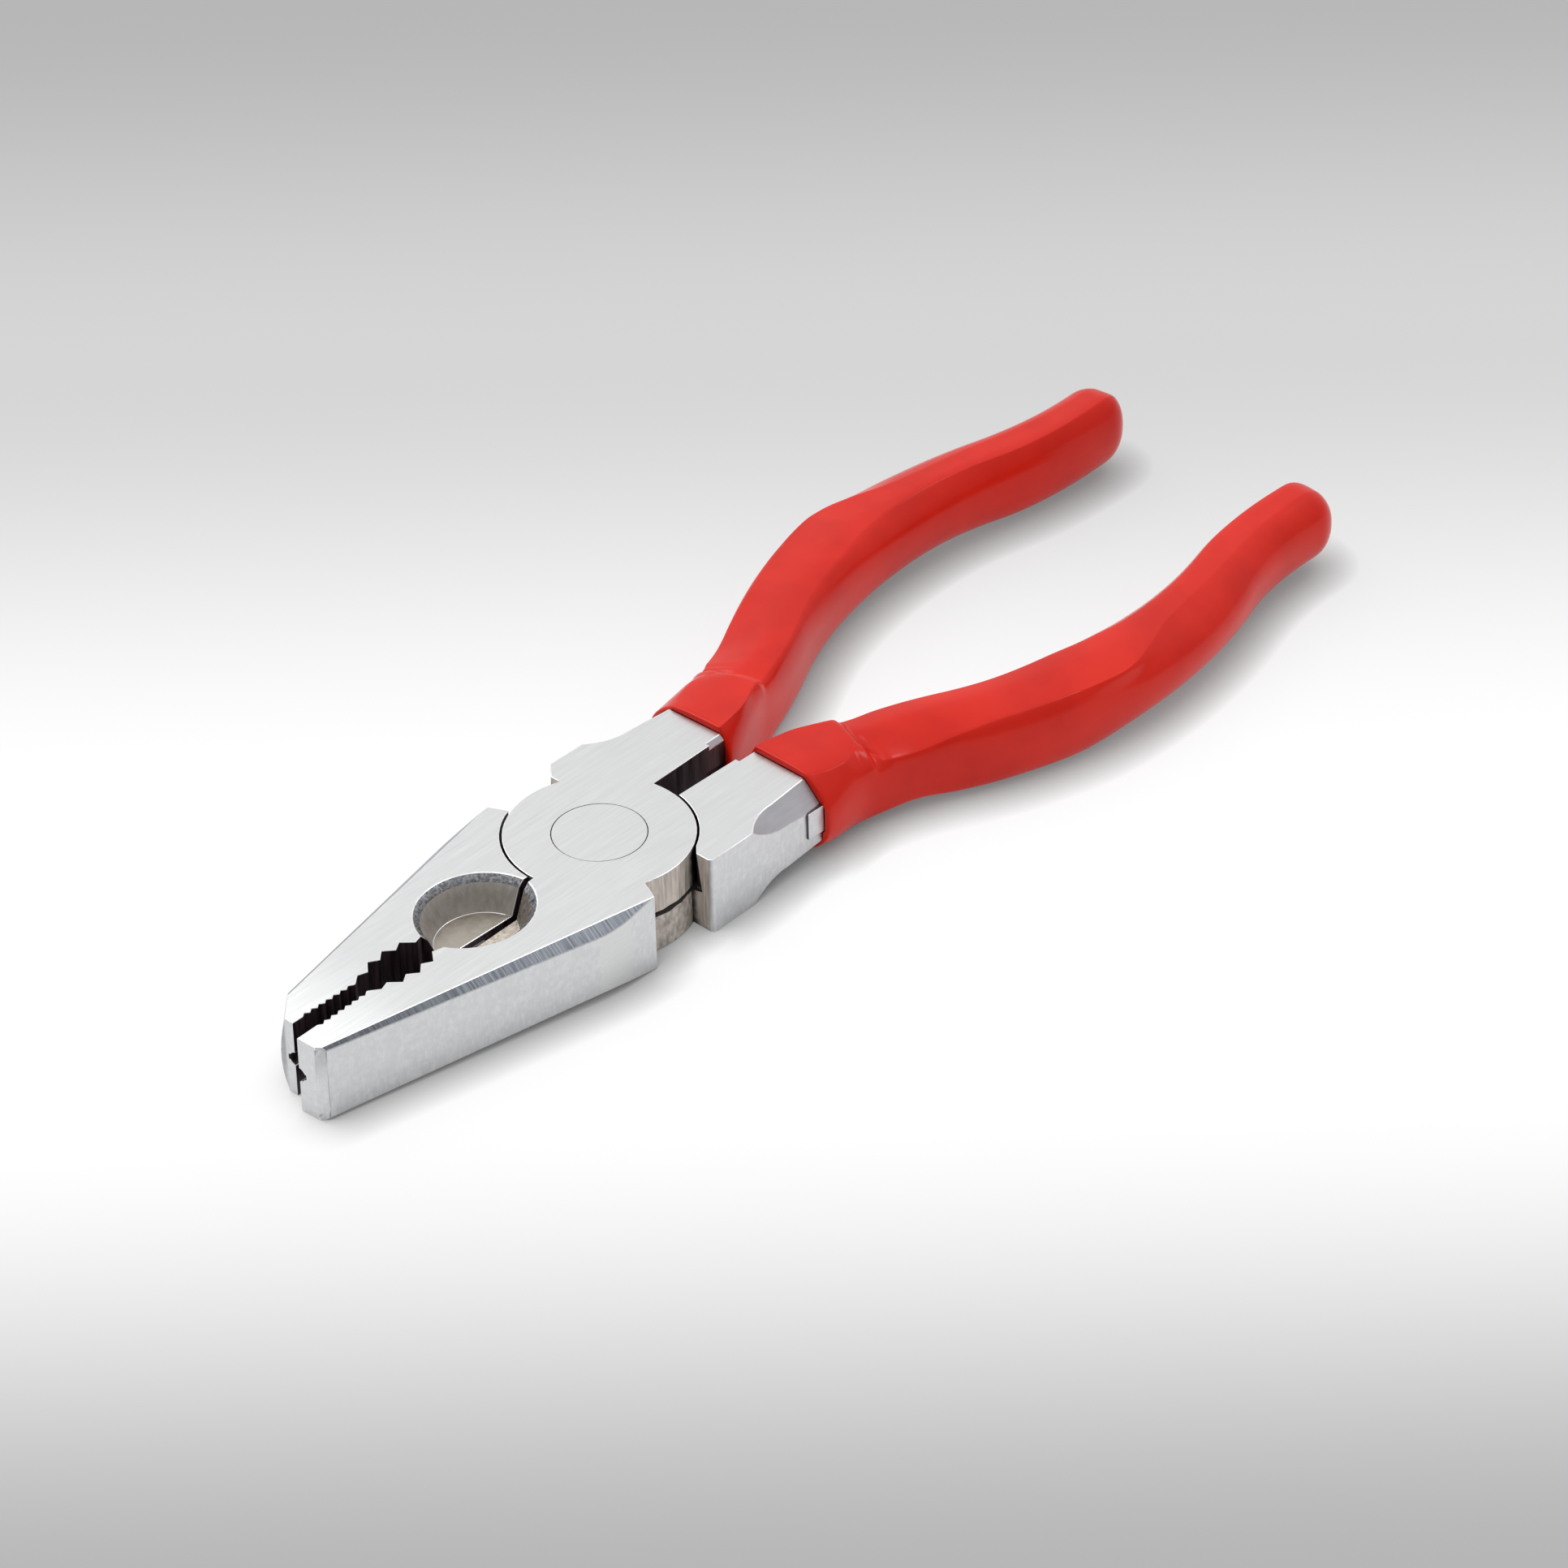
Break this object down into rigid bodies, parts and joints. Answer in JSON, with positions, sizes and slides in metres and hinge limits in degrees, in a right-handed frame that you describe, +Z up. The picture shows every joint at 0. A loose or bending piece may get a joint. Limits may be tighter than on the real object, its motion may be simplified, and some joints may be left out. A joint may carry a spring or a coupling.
{
  "type": "combination pliers",
  "caption": "Steel lap-joint pliers with a toothed pipe grip, fine tip teeth, a cutter recess, a flush rivet and red dipped grips; the jaws open and close on the rivet.",
  "frame": {"origin": "on the pivot's axis at the head's underside, with the jaws slightly open as in the picture", "axes": "+X from the pivot to the handles, +Y to the lower lever's jaw and the upper lever's handle, +Z up"},
  "size_m": [0.1785, 0.0592, 0.0123],
  "materials": {
    "lever_steel": "ground and finely brushed, darker on the milled edge facets",
    "rivet_steel": "ground flush with the head",
    "grip_vinyl": "smooth satin dip coating"
  },
  "bodies": {
    "upper": {"upper_lever": "lever_steel", "pivot_rivet": "rivet_steel", "upper_lever_grip": "grip_vinyl"},
    "lower": {"lower_lever": "lever_steel", "lower_lever_grip": "grip_vinyl"}
  },
  "joints": [
    {"name": "jaw_pivot", "type": "hinge", "parent": "upper", "child": "lower", "pos_m": [0, 0, 0.0057], "axis": [0, 0, -1], "range_deg": [-2.5, 35]}
  ]
}
